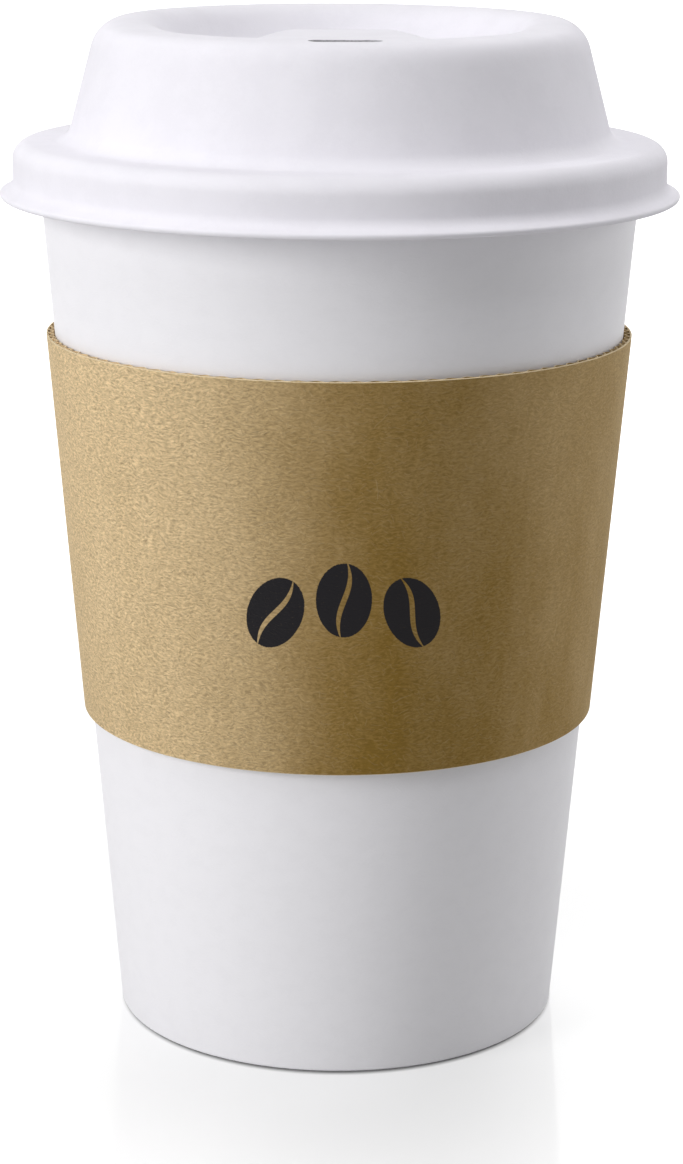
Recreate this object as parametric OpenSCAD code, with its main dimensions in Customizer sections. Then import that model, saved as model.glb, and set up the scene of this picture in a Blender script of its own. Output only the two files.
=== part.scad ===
// Paper cup for hot drinks, with a moulded fibre lid and a corrugated kraft sleeve.
// The foot stands on z = 0, the cup's axis is Z and the sip slot of the lid faces -Y.

/* [Cup] */
// Outer diameter at the foot
foot_d = 64.5; // [58:0.5:68]
// Outer diameter over the rolled rim
rim_d = 90; // [86:0.5:94]
// Height from the foot to the top of the rim
cup_h = 126.5; // [115:0.5:140]
// Thickness of the cup board
board_t = 0.36; // [0.28:0.02:0.44]
// Diameter of the rolled bead at the rim
bead_d = 2.8; // [2.6:0.1:3.6]
// How far round the bead is rolled
bead_turn = 300; // [250:5:310]
// Width of the glued lap of the side seam
seam_w = 7; // [5:0.5:8]
// Inner radius of the two bends that fold the board over at the foot
fold_in = 0.03; // [0.02:0.01:0.06]

/* [Base disc] */
// Height of the disc's upper face above the foot
disc_z = 9; // [7:0.5:12]
// Thickness of the disc
disc_t = 0.32; // [0.24:0.02:0.4]
// Outer radius of the bend where the disc turns down into its skirt
disc_bend = 1.2; // [0.8:0.1:2]
// Height of the hem that is folded up inside the skirt
hem_h = 6; // [4:0.5:6.5]
// Room between the skirt's lower edge and the fold
skirt_gap = 0.2; // [0.1:0.1:1]

/* [Lid] */
// Thickness of the moulded fibre
lid_t = 0.85; // [0.6:0.05:1]
// Height from the top of the ring down to the underside of the lip
skirt_h = 7.8; // [7:0.1:10]
// How far the lip stands out from the ring
lip_flare = 2; // [1.6:0.1:2.4]
// Slope of the lip below the horizontal
lip_slope = 25; // [15:1:35]
// Radius of the hollow between ring and lip
lip_hollow = 1.6; // [1.2:0.1:2]
// Height of the dome above the ring
dome_h = 17; // [14:0.5:20]
// Lean of the dome's side from the vertical
dome_lean = 15; // [10:0.5:18]
// Width of the flat ledge between the ring's rounding and the dome
ledge_w = 3.25; // [2:0.05:5]
// Radius of the dome's shoulder
shoulder_r = 5.2; // [4:0.1:6]
// Radius of the hollow where the dome leaves the ring
dome_root = 2.6; // [2:0.1:3.5]

/* [Lid top] */
// Width of the flat land between the crest and the bowl
land_w = 1; // [0.5:0.1:2]
// Radius of the bowl's upper edge
bowl_edge = 4; // [2:0.1:4.5]
// Slope of the bowl's side below the horizontal
bowl_slope = 55; // [40:1:60]
// Radius between the bowl's side and its floor
bowl_root = 3; // [2:0.5:4]
// Depth of the bowl
bowl_h = 5.2; // [4.5:0.1:6]
// How far the front of the crest dips below the rest of it
dip_d = 1.15; // [0.8:0.05:1.6]
// Distance in front of the axis at which the dip is level
dip_y = 16; // [13:0.5:20]
// Length of the run over which the crest falls to the dip
dip_run = 14; // [10:0.5:18]
// Width of the tongue that carries the sip slot, at the crest
tongue_w = 31; // [24:0.5:36]
// Width of the tongue at its end
tongue_end_w = 17; // [12:0.5:20]
// Distance behind the axis at which the tongue's level top ends
tongue_y = 2; // [-4:0.5:4]
// Slope of the tongue's top away from the slot
tongue_fall = 1; // [0:0.5:4]
// Slope of the tongue's sides below the horizontal
tongue_side = 45; // [35:1:55]
// Slope of the tongue's end below the horizontal
tongue_end = 32; // [25:1:45]
// Length of the sip slot
slot_l = 9.6; // [8:0.2:12]
// Width of the sip slot
slot_w = 3.2; // [2.4:0.1:3.6]
// Diameter of the vent hole
vent_d = 1.6; // [1:0.1:2.4]
// Distance of the vent hole behind the axis
vent_y = 14; // [10:0.5:17]

/* [Sleeve] */
// Height of the sleeve's lower edge above the foot
sleeve_z = 45.5; // [38:0.5:52]
// Height of the sleeve
sleeve_h = 55; // [45:0.5:62]
// Thickness of the smooth outer paper
liner_t = 0.26; // [0.2:0.02:0.36]
// Thickness of the fluted inner paper
flute_t = 0.16; // [0.12:0.02:0.2]
// Height of the flutes over both of their crests
flute_h = 0.8; // [0.7:0.05:1.1]
// Distance from one flute to the next
flute_pitch = 2.4; // [2.2:0.1:4]
// Width of the glued lap that closes the sleeve
sleeve_lap = 13; // [12:0.5:18]

/* [Clearances] */
// Between the rim and the lid that seats on it
lid_gap = 0.15; // [0.1:0.01:0.25]
// Between the cup's wall and the flutes
sleeve_gap = 0.12; // [0.1:0.01:0.3]
// Thickness of a glue line
glue_gap = 0.02; // [0.01:0.01:0.04]

/* [Hidden] */
$fn = 96;
// Greatest angle between two points of an arc
arc_step = 10;
// Reach of a cut past the body that it cuts
past = 1;
// The cup's seam and the sleeve's lap lie at the back
back_az = 90;
// Points to one flute
flute_steps = 6;
// Rows of points where the flutes lie pressed flat under the lap
flat_steps = 6;

// The board's middle line runs from the fold at the foot, up the wall and round the bead
fold_r = fold_in + board_t / 2;
fold_x = foot_d / 2 - fold_r - board_t / 2;
fold_z = fold_r + board_t / 2;
bead_mid = (bead_d - board_t) / 2;
bead_x = rim_d / 2 - bead_d / 2;
bead_z = cup_h - bead_d / 2;
rise = norm([bead_x - fold_x, bead_z - fold_z]);
// Angle of the wall above the horizontal, as the line that touches both arcs
wall_a = atan2(bead_z - fold_z, bead_x - fold_x) + asin((fold_r + bead_mid) / rise);
wall_l = sqrt(rise * rise - pow(fold_r + bead_mid, 2));

// The hem lies this far inside the wall, and the skirt fills the pocket between them
hem_off = -(board_t + disc_t + 2 * glue_gap);
foot_flat = (-hem_off - 2 * fold_r) / sin(wall_a);

// Radius at height z of the cone that lies off outside the board's middle line
function cone_r(z, off) =
    fold_x + fold_r / sin(wall_a) + (z - fold_z) / tan(wall_a) + off / sin(wall_a);

// One leg of a path: a straight of that run, or an arc of radius run that turns left by turn
function leg(p, run, turn) = turn == 0
    ? [[p[0] + run * cos(p[2]), p[1] + run * sin(p[2]), p[2]]]
    : let (n = ceil(abs(turn) / arc_step), s = sign(turn),
           cx = p[0] - s * run * sin(p[2]), cz = p[1] + s * run * cos(p[2]))
      [for (i = [1:n]) let (d = p[2] + turn * i / n)
          [cx + s * run * sin(d), cz - s * run * cos(d), d]];

// Points [x, z, heading] of the path that starts at p and takes the legs [run, turn]
function path(p, legs, i = 0) = i == len(legs) ? [p]
    : let (part = leg(p, legs[i][0], legs[i][1]), last = len(part) - 1)
      concat([p], [for (k = [0:1:last - 1]) part[k]], path(part[last], legs, i + 1));

// The line that lies off to the left of a path
function beside(way, off) = [for (p = way) [p[0] - off * sin(p[2]), p[1] + off * cos(p[2])]];

function reversed(list) = [for (i = [len(list) - 1:-1:0]) list[i]];

// Section of a sheet of thickness t whose middle line is the path
module sheet_section(way, t) {
    polygon(concat(beside(way, t / 2), reversed(beside(way, -t / 2))));
}

// A band of the cone between two heights and two distances from the board's middle line
module cone_band(z0, z1, off0, off1, turn = 360) {
    rotate([0, 0, turn == 360 ? 0 : back_az - turn / 2])
        rotate_extrude(angle = turn)
            polygon([[cone_r(z0, off0), z0], [cone_r(z0, off1), z0],
                     [cone_r(z1, off1), z1], [cone_r(z1, off0), z1]]);
}

// The angle that a width takes up at a radius
function turn_of(width, r) = width / r * 180 / PI;

// The wall blank: hem, fold, wall and rolled rim are one strip of board, closed by a lap
module cup_wall() {
    hem_l = (hem_h - fold_z - fold_r * cos(wall_a)) / sin(wall_a);
    blank = path([cone_r(hem_h, hem_off), hem_h, wall_a + 180],
                 [[hem_l, 0], [fold_r, 180 - wall_a], [foot_flat, 0], [fold_r, wall_a],
                  [wall_l, 0], [bead_mid, -bead_turn]]);
    seam_turn = turn_of(seam_w, cone_r(cup_h / 2, 0));
    color("white") {
        rotate_extrude() sheet_section(blank, board_t);
        cone_band(fold_z, cup_h - bead_d, 0, board_t * 3 / 2, seam_turn);
    }
}

// The base disc, with its skirt between the wall and the hem
module cup_base() {
    bend_mid = disc_bend - disc_t / 2;
    bend_z = disc_z - disc_bend;
    bend_x = cone_r(bend_z, hem_off / 2 - bend_mid);
    skirt_top = bend_z - bend_mid * cos(wall_a);
    skirt_l = (skirt_top - board_t - skirt_gap) / sin(wall_a);
    color("whitesmoke")
        rotate_extrude()
            sheet_section(path([0, disc_z - disc_t / 2, 0],
                               [[bend_x, 0], [bend_mid, wall_a - 180], [skirt_l, 0]]), disc_t);
}

// The lid's outer face, from the lip in over the ring and up to the crest
ring_r = rim_d / 2 + lid_gap + lid_t;
ring_z = cup_h + lid_gap + lid_t;
ring_round = bead_d / 2 + lid_gap + lid_t;
lip_run = (lip_flare - lip_hollow * (1 - sin(lip_slope))) / cos(lip_slope);
lip_z = ring_z - skirt_h + lid_t * cos(lip_slope);
ring_wall = ring_z - ring_round - lip_z - lip_run * sin(lip_slope) - lip_hollow * cos(lip_slope);
side_l = (dome_h - (dome_root + shoulder_r) * (1 - sin(dome_lean))) / cos(dome_lean);
dome_run = (dome_root + shoulder_r) * cos(dome_lean) + side_l * sin(dome_lean);
crest_r = ring_r - ring_round - ledge_w - dome_run;
crest_z = ring_z + dome_h;
shell_way = path([ring_r + lip_flare, lip_z, 180 - lip_slope],
    [[lip_run, 0], [lip_hollow, lip_slope - 90], [ring_wall, 0], [ring_round, 90],
     [ledge_w, 0], [dome_root, dome_lean - 90], [side_l, 0],
     [shoulder_r, 90 - dome_lean]]);

// The lid's bowl, from its edge down its side and in along its floor
bowl_r = crest_r - land_w;
bowl_side = (bowl_h - (bowl_edge + bowl_root) * (1 - cos(bowl_slope))) / sin(bowl_slope);
bowl_foot = bowl_r - (bowl_edge + bowl_root) * sin(bowl_slope) - bowl_side * cos(bowl_slope);
bowl_way = path([bowl_r, crest_z, 180],
    [[bowl_edge, bowl_slope], [bowl_side, 0], [bowl_root, -bowl_slope], [bowl_foot, 0]]);

// The slot lies on the middle of the crest's land, and the dip runs out on a round of this radius
slot_y = bowl_r + land_w / 2;
dip_z = crest_z - dip_d;
dip_round = (dip_run * dip_run + dip_d * dip_d) / (2 * dip_d);

// All that lies under a plane through the origin that falls towards +X, set in by t
module under(slope, t) {
    rotate([0, slope, 0])
        translate([-ring_r, -ring_r, -ring_r - t])
            cube([2 * ring_r, 2 * ring_r, ring_r]);
}

// The tongue that is left standing in the bowl, with a top, two sides and an end
module tongue(t) {
    intersection() {
        translate([0, -slot_y, dip_z]) rotate([0, 0, 90]) under(tongue_fall, t);
        tongue_flank(t);
        mirror([1, 0, 0]) tongue_flank(t);
        translate([0, tongue_y, dip_z]) rotate([0, 0, 90]) under(tongue_end, t);
    }
}

module tongue_flank(t) {
    narrowing = atan((tongue_w - tongue_end_w) / 2 / (slot_y + tongue_y));
    translate([tongue_end_w / 2, tongue_y, dip_z]) rotate([0, 0, narrowing]) under(tongue_side, t);
}

// What is hollowed out of the lid's top: the bowl around the tongue, and the dip of the crest
module top_hollow(t) {
    difference() {
        rotate_extrude() {
            way = beside(bowl_way, t);
            polygon(concat(way, [[0, crest_z + past], [way[0][0], crest_z + past]]));
        }
        tongue(t);
    }
    translate([-ring_r, -ring_r, dip_z - t]) cube([2 * ring_r, ring_r - dip_y, 2 * dip_d + t]);
    translate([0, -dip_y, dip_z + dip_round])
        rotate([0, 90, 0])
            cylinder(r = dip_round + t, h = 2 * ring_r, center = true, $fn = 360);
}

// The lid as a full body, set in by t from its outer face
module lid_body(t) {
    difference() {
        rotate_extrude() {
            way = beside(shell_way, t);
            tip = beside([shell_way[0]], lid_t)[0];
            floor_z = t == 0 ? tip[1] : tip[1] - past;
            polygon(concat([[0, floor_z], [tip[0], floor_z]], t == 0 ? [tip] : [], way,
                           [[0, crest_z - t]]));
        }
        top_hollow(t);
    }
}

// The lid, one moulding of even thickness with a sip slot and a vent
module lid() {
    color("white")
        difference() {
            lid_body(0);
            lid_body(lid_t);
            translate([0, -slot_y, crest_z - bowl_h])
                linear_extrude(2 * bowl_h) {
                    square([slot_l - slot_w, slot_w], center = true);
                    for (side = [-1, 1])
                        translate([side * (slot_l - slot_w) / 2, 0]) circle(d = slot_w);
                }
            translate([0, vent_y, crest_z - 2 * bowl_h])
                cylinder(d = vent_d, h = 2 * bowl_h);
        }
}

// Distances of the sleeve's faces from the board's middle line
flute_in = board_t / 2 + sleeve_gap;
flute_out = flute_in + flute_h;
liner_in = flute_out + glue_gap;
liner_out = liner_in + liner_t;
sleeve_top = sleeve_z + sleeve_h;
sleeve_mid_r = cone_r(sleeve_z + sleeve_h / 2, (flute_in + flute_out) / 2);

// The sleeve's smooth outer paper, closed at the back by a glued lap
module sleeve_liner() {
    color("burlywood") {
        cone_band(sleeve_z, sleeve_top, liner_in, liner_out);
        cone_band(sleeve_z, sleeve_top, liner_in + liner_t / 2, liner_out + liner_t,
                  turn_of(sleeve_lap, sleeve_mid_r));
    }
}

// The fluted paper: waves all round, pressed flat against the liner under the lap
flat_turn = turn_of(sleeve_lap, sleeve_mid_r);
flutes = round((360 - flat_turn) / turn_of(flute_pitch, sleeve_mid_r));
wave_turn = (360 - flat_turn) / flutes;
flute_swing = (flute_h - flute_t) / 2;
// Azimuth and phase of each point, a crest against the liner being phase 0
flute_marks = concat(
    [for (i = [0:flutes * flute_steps - 1])
        [back_az + flat_turn / 2 + i * wave_turn / flute_steps, i * 360 / flute_steps]],
    [for (i = [0:flat_steps - 1]) [back_az - flat_turn / 2 + i * flat_turn / flat_steps, 0]]);

// A point of the fluted paper at height z, off outside its middle line
function flute_point(mark, z, off) =
    let (mid = cone_r(z, flute_out - flute_t / 2 - flute_swing * (1 - cos(mark[1]))),
         tilt = atan(-flute_swing * sin(mark[1]) * 360 / wave_turn / mid),
         r = mid + off * cos(tilt),
         az = mark[0] - turn_of(off * sin(tilt), mid))
    [r * cos(az), r * sin(az), z];

module sleeve_flutes() {
    n = len(flute_marks);
    // Four rings of points: outer and inner face, at the lower and the upper edge
    rings = [for (z = [sleeve_z, sleeve_top], off = [flute_t / 2, -flute_t / 2])
                for (mark = flute_marks) flute_point(mark, z, off)];
    // Strips between the rings, in the order that faces them outwards
    strips = [[0, 2], [2, 3], [3, 1], [1, 0]];
    faces = [for (s = strips, i = [0:n - 1])
                let (j = (i + 1) % n)
                [s[0] * n + i, s[1] * n + i, s[1] * n + j, s[0] * n + j]];
    color("peru") polyhedron(rings, faces);
}

cup_wall();
cup_base();
lid();
sleeve_liner();
sleeve_flutes();
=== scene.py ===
"""A paper cup for hot drinks with a moulded fibre lid and a corrugated kraft sleeve.

Every length is in metres unless its name ends in _MM, and every angle in degrees. The cup's axis is
Z, the lid's sip slot faces -Y, the camera stands on that side, and the seams lie at the back, at +Y.
"""

import math

import bmesh
import bpy
import numpy as np
from mathutils import Matrix, Vector

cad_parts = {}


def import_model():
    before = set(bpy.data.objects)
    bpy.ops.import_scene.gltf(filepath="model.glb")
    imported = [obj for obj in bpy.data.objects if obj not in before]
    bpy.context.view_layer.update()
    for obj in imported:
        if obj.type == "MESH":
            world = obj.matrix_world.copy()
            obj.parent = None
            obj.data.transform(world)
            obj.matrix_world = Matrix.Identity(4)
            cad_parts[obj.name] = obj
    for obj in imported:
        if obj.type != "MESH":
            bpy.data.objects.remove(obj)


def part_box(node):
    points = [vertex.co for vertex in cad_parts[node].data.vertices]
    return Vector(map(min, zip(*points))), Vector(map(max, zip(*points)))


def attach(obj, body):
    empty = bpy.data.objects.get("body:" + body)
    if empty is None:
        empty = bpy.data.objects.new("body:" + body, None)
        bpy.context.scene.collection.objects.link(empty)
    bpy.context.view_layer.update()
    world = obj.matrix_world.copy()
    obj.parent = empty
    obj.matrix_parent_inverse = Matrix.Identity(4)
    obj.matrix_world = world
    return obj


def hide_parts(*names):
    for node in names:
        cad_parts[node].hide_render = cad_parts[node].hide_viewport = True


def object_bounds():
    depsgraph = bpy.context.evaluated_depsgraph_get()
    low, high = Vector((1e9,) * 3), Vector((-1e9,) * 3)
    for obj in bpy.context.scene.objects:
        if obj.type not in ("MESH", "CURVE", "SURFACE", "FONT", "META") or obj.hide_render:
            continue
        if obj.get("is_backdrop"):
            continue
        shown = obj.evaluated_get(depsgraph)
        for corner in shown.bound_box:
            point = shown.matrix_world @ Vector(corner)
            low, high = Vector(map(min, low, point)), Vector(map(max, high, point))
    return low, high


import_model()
cad_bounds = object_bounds()

MM = 0.001
# Azimuths from +X of the front and the back
FRONT, BACK = 270.0, 90.0
# Greatest turn of one step of an arc, and least turn of a mesh at an edge that stays sharp
ARC_STEP, SHARP_TURN = 9.0, 38.0
# Turn over which the free end of a lap rises
FREE_END = 0.04

# Cup: the sheet of board and how it is folded and rolled
FOOT_R = 32.25 * MM
BOARD_T = 0.36 * MM
BEAD_D = 2.8 * MM
BEAD_TURN = 300.0
SEAM_W = 7 * MM
SEAM_BLEND = 2.2 * MM
FOLD_IN = 0.03 * MM
DISC_Z = 9 * MM
DISC_T = 0.32 * MM
DISC_BEND = 1.2 * MM
HEM_H = 6 * MM
SKIRT_GAP = 0.2 * MM
GLUE_GAP = 0.02 * MM

# Lid: thickness, lip, ring and dome
LID_T = 0.85 * MM
LID_GAP = 0.15 * MM
SKIRT_H = 7.8 * MM
LIP_FLARE = 2 * MM
LIP_SLOPE = 25.0
LIP_HOLLOW = 1.6 * MM
LIP_ROUND = 0.3 * MM
DOME_LEAN = 15.0
LEDGE_W = 3.25 * MM
SHOULDER_R = 5.2 * MM
DOME_ROOT = 2.6 * MM

# Lid top: land, bowl, dip of the crest, tongue in the bowl, their blends, slot and vent
LAND_W = 1 * MM
BOWL_EDGE = 4 * MM
BOWL_SLOPE = 55.0
BOWL_ROOT = 3 * MM
BOWL_H = 5.2 * MM
DIP_D = 1.15 * MM
DIP_Y = 16 * MM
DIP_RUN = 14 * MM
TONGUE_W = 31 * MM
TONGUE_END_W = 17 * MM
TONGUE_Y = 2 * MM
TONGUE_FALL = 1.0
TONGUE_SIDE = 45.0
TONGUE_END = 32.0
TONGUE_BLEND = 3.4 * MM
FILL_BLEND = 3 * MM
FILL_FADE = 5 * MM
DIP_BLEND = 1.4 * MM
SLOT_L = 9.6 * MM
SLOT_W = 3.2 * MM
VENT_D = 1.6 * MM
VENT_Y = 14 * MM

# Sleeve: smooth outer paper over a fluted inner paper
SLEEVE_GAP = 0.12 * MM
FLUTE_H = 0.8 * MM
FLUTE_T = 0.16 * MM
FLUTE_PITCH = 2.4 * MM
LINER_T = 0.26 * MM
LINER_ROUND = 0.08 * MM
SLEEVE_LAP = 13 * MM
LAP_BLEND = 3 * MM

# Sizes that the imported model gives
RIM_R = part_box("cup_wall")[1].x
CUP_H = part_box("cup_wall")[1].z
CREST_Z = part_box("lid")[1].z
SLEEVE_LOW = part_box("sleeve_liner")[0].z
SLEEVE_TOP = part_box("sleeve_liner")[1].z


# Sine, cosine and tangent of an angle in degrees


def sin(angle):
    return math.sin(math.radians(angle))


def cos(angle):
    return math.cos(math.radians(angle))


def tan(angle):
    return math.tan(math.radians(angle))


# The board's middle line, from the fold at the foot to the bead
FOLD_R = FOLD_IN + BOARD_T / 2
FOLD_X = FOOT_R - FOLD_R - BOARD_T / 2
FOLD_Z = FOLD_R + BOARD_T / 2
BEAD_MID = (BEAD_D - BOARD_T) / 2
BEAD_X = RIM_R - BEAD_D / 2
BEAD_Z = CUP_H - BEAD_D / 2
RISE = math.hypot(BEAD_X - FOLD_X, BEAD_Z - FOLD_Z)
WALL_A = math.degrees(
    math.atan2(BEAD_Z - FOLD_Z, BEAD_X - FOLD_X) + math.asin((FOLD_R + BEAD_MID) / RISE)
)
WALL_L = math.sqrt(RISE**2 - (FOLD_R + BEAD_MID) ** 2)
HEM_OFF = -(BOARD_T + DISC_T + 2 * GLUE_GAP)
FOOT_FLAT = (-HEM_OFF - 2 * FOLD_R) / sin(WALL_A)


def cone_r(z, off):
    """Radius at height z of the cone that lies off outside the board's middle line."""
    return FOLD_X + (FOLD_R + off) / sin(WALL_A) + (z - FOLD_Z) * cos(WALL_A) / sin(WALL_A)


# The sleeve's layers, outwards from the board's middle line
FLUTE_IN = BOARD_T / 2 + SLEEVE_GAP
FLUTE_OUT = FLUTE_IN + FLUTE_H
LINER_IN = FLUTE_OUT + GLUE_GAP
LINER_OUT = LINER_IN + LINER_T
SLEEVE_MID_R = cone_r((SLEEVE_LOW + SLEEVE_TOP) / 2, (FLUTE_IN + FLUTE_OUT) / 2)
SLEEVE_MID_MM = (SLEEVE_LOW + SLEEVE_TOP) / 2 / MM


# Paths, grids and meshes


def leg(start, run, turn, step):
    """Points of a straight of length run, or of an arc of radius run that turns left by turn.
    step is the greatest step on a straight, in millimetres, and 0 leaves it whole.
    """
    x, z, heading = start
    if turn == 0:
        count = max(1, math.ceil(run / (step * MM))) if step else 1
        return [(x + run * k / count * cos(heading), z + run * k / count * sin(heading), heading)
                for k in range(1, count + 1)]
    count = math.ceil(abs(turn) / ARC_STEP)
    side = math.copysign(1, turn)
    cx = x - side * run * sin(heading)
    cz = z + side * run * cos(heading)
    found = []
    for k in range(1, count + 1):
        angle = heading + turn * k / count
        found.append((cx + side * run * sin(angle), cz - side * run * cos(angle), angle))
    return found


def path(start, legs):
    """Points (x, z, heading) from start along legs of (run, turn, greatest step in mm)."""
    found = [start]
    for run, turn, step in legs:
        found += leg(found[-1], run, turn, step)
    return np.array(found)


def beside(way, off):
    """The line that lies off to the left of a path."""
    heading = np.radians(way[:, 2])
    return np.stack([way[:, 0] - off * np.sin(heading), way[:, 1] + off * np.cos(heading)], 1)


def run_length(line):
    """Length along a line of points, at each point."""
    steps = np.linalg.norm(np.diff(line, axis=0), axis=1)
    return np.concatenate([[0.0], np.cumsum(steps)])


def columns(count, edges=()):
    """Azimuths once round from the back, with extra ones close to each edge."""
    found = set(np.round(np.linspace(BACK, BACK + 360, count + 1), 5))
    for edge in edges:
        found.update(round(edge + near * FREE_END, 5) for near in (-1.5, -0.5, 0.5, 1.5))
    return np.array(sorted(a for a in found if BACK <= a <= BACK + 360))


def turned(radius, height, azimuths):
    """Points [azimuth, station] of a section turned about Z. radius may differ by azimuth."""
    angle = np.radians(azimuths)[:, None]
    radius, height = np.broadcast_arrays(radius, height)
    return np.stack([radius * np.cos(angle), radius * np.sin(angle), height + 0 * angle], -1)


def wrap_map(azimuths, length, radius):
    """Map coordinates in millimetres: round the axis from the front, and along the section."""
    across = np.radians(azimuths - FRONT)[:, None] * radius / MM
    along = np.broadcast_to(length / MM, (len(azimuths), len(length)))
    return np.stack([across + 0 * along, along], -1)


def grid_object(name, points, coordinates, materials, rows=None):
    """A mesh of quads over points[i, j], with its map. rows gives each strip's material index."""
    count_i, count_j = points.shape[:2]
    index = np.arange(count_i * count_j).reshape(count_i, count_j)
    corners = [index[:-1, :-1], index[1:, :-1], index[1:, 1:], index[:-1, 1:]]
    faces = np.stack(corners, -1).reshape(-1, 4)
    mesh = bpy.data.meshes.new(name)
    mesh.from_pydata(points.reshape(-1, 3).tolist(), [], faces.tolist())
    for material in materials:
        mesh.materials.append(material)
    layer = mesh.uv_layers.new(name="wrap")
    layer.data.foreach_set("uv", coordinates.reshape(-1, 2)[faces.ravel()].ravel())
    if rows is not None:
        strips = np.broadcast_to(rows, (count_i - 1, count_j - 1))
        mesh.polygons.foreach_set("material_index", strips.ravel().astype(np.int32))
    tidy(mesh)
    made = bpy.data.objects.new(name, mesh)
    bpy.context.scene.collection.objects.link(made)
    return made


def tidy(mesh):
    """Joins edges that meet, drops what has no area, and shades all but the sharp edges smooth."""
    work = bmesh.new()
    work.from_mesh(mesh)
    bmesh.ops.remove_doubles(work, verts=work.verts, dist=2e-7)
    bmesh.ops.dissolve_degenerate(work, edges=work.edges, dist=1e-8)
    limit = math.radians(SHARP_TURN)
    for face in work.faces:
        face.smooth = True
    for edge in work.edges:
        edge.smooth = len(edge.link_faces) == 2 and edge.calc_face_angle(0) < limit
    work.to_mesh(mesh)
    work.free()


def lap(azimuths, width, radius, blend_w):
    """How far the outer layer is lifted, from 0 to 1 on the lap, with a sharp end and a smooth one."""
    half = math.degrees(width / radius) / 2
    blend = math.degrees(blend_w / radius)
    away = azimuths - np.where(azimuths > BACK + 180, BACK + 360, BACK)
    free_end = np.clip((away + half) / FREE_END + 0.5, 0, 1)
    held_end = np.clip((half - away) / blend, 0, 1)
    return free_end * held_end * held_end * (3 - 2 * held_end)


def lap_edges(width, radius, blend_w):
    """Azimuths where a lap's lift starts, ends and bends."""
    half = math.degrees(width / radius) / 2
    blend = math.degrees(blend_w / radius)
    ends = [-half, half, half - blend, half - blend / 2, half - blend / 4, half - 3 * blend / 4]
    return [BACK + e if e > 0 else BACK + 360 + e for e in ends]


# Materials


def new_material(name):
    """A material, its tree and the Principled shader in it."""
    made = bpy.data.materials.new(name)
    made.use_nodes = True
    return made, made.node_tree, made.node_tree.nodes["Principled BSDF"]


def add(tree, kind, inputs=None, **settings):
    """A node with its settings. An input is a value or another node's output."""
    made = tree.nodes.new(kind)
    for key, value in settings.items():
        setattr(made, key, value)
    for key, value in (inputs or {}).items():
        if isinstance(value, bpy.types.NodeSocket):
            tree.links.new(value, made.inputs[key])
        else:
            made.inputs[key].default_value = value
    return made


def maths(tree, operation, *values, clamp=False):
    """The result of a Math node."""
    made = add(tree, "ShaderNodeMath", dict(enumerate(values)), operation=operation, use_clamp=clamp)
    return made.outputs[0]


def step_between(tree, value, low, high, to_low=0.0, to_high=1.0, kind="SMOOTHSTEP"):
    """value mapped from low..high to to_low..to_high, and held at both ends."""
    inputs = {"Value": value, "From Min": low, "From Max": high, "To Min": to_low, "To Max": to_high}
    return add(tree, "ShaderNodeMapRange", inputs, interpolation_type=kind).outputs["Result"]


def mixed(tree, factor, a, b):
    """Colours a and b mixed by factor. A Mix node takes its two colours in sockets 6 and 7."""
    made = add(tree, "ShaderNodeMix", data_type="RGBA")
    for socket, value in zip((made.inputs[0], made.inputs[6], made.inputs[7]), (factor, a, b)):
        if isinstance(value, bpy.types.NodeSocket):
            tree.links.new(value, socket)
        else:
            socket.default_value = value
    return made.outputs[2]


def scaled(tree, vector, x, y, z=1.0, turn=0.0):
    """vector turned about Z and then stretched."""
    inputs = {"Vector": vector, "Scale": (x, y, z), "Rotation": (0, 0, math.radians(turn))}
    return add(tree, "ShaderNodeMapping", inputs).outputs[0]


def noise(tree, vector, scale, detail, rough=0.55, distort=0.0):
    """Noise from 0 to 1, with scale in features per unit of vector."""
    inputs = {"Vector": vector, "Scale": scale, "Detail": detail, "Roughness": rough,
              "Distortion": distort}
    return add(tree, "ShaderNodeTexNoise", inputs).outputs["Fac"]


def wrap_coordinates(tree):
    """The wrap map, in millimetres."""
    return add(tree, "ShaderNodeUVMap", uv_map="wrap").outputs[0]


def body_coordinates(tree):
    """The piece's own coordinates, in millimetres."""
    own = add(tree, "ShaderNodeTexCoord").outputs["Object"]
    return scaled(tree, own, 1 / MM, 1 / MM, 1 / MM)


def fibres(tree, vector, cell, length, half_w, spread, share):
    """Mask of straight strokes, one in each of a share of the cells, turned by up to spread."""
    cells = add(tree, "ShaderNodeTexVoronoi", {"Vector": vector, "Scale": 1 / cell},
                voronoi_dimensions="2D")
    offset = add(tree, "ShaderNodeVectorMath", {0: vector, 1: cells.outputs["Position"]},
                 operation="SUBTRACT").outputs[0]
    chance = add(tree, "ShaderNodeSeparateColor", {"Color": cells.outputs["Color"]})
    angle = maths(tree, "MULTIPLY_ADD", chance.outputs[0], math.radians(2 * spread),
                  -math.radians(spread))
    turned_to = add(tree, "ShaderNodeVectorRotate", {"Vector": offset, "Angle": angle},
                    rotation_type="Z_AXIS").outputs[0]
    place = add(tree, "ShaderNodeSeparateXYZ", {0: turned_to})
    along = maths(tree, "ABSOLUTE", place.outputs[0])
    across = maths(tree, "ABSOLUTE", place.outputs[1])
    inside = maths(tree, "MULTIPLY", step_between(tree, along, length / 2, length / 4),
                   step_between(tree, across, half_w, half_w / 4))
    kept = maths(tree, "LESS_THAN", chance.outputs[1], share)
    return maths(tree, "MULTIPLY", inside, kept)


def bump(tree, height, distance, normal=None):
    """Normal of a relief that is distance deep where height runs from 0 to 1."""
    inputs = {"Height": height, "Distance": distance, "Strength": 1.0}
    if normal is not None:
        inputs["Normal"] = normal
    return add(tree, "ShaderNodeBump", inputs).outputs[0]


# Print on the sleeve: three coffee beans in a row. Each is (across, up, tilt) of its centre
BEANS_MM = ((-9.2, 68.6, 24.0), (0.0, 70.6, 0.0), (9.2, 68.6, -24.0))
BEAN_W_MM, BEAN_L_MM = 7.4, 10.4
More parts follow.
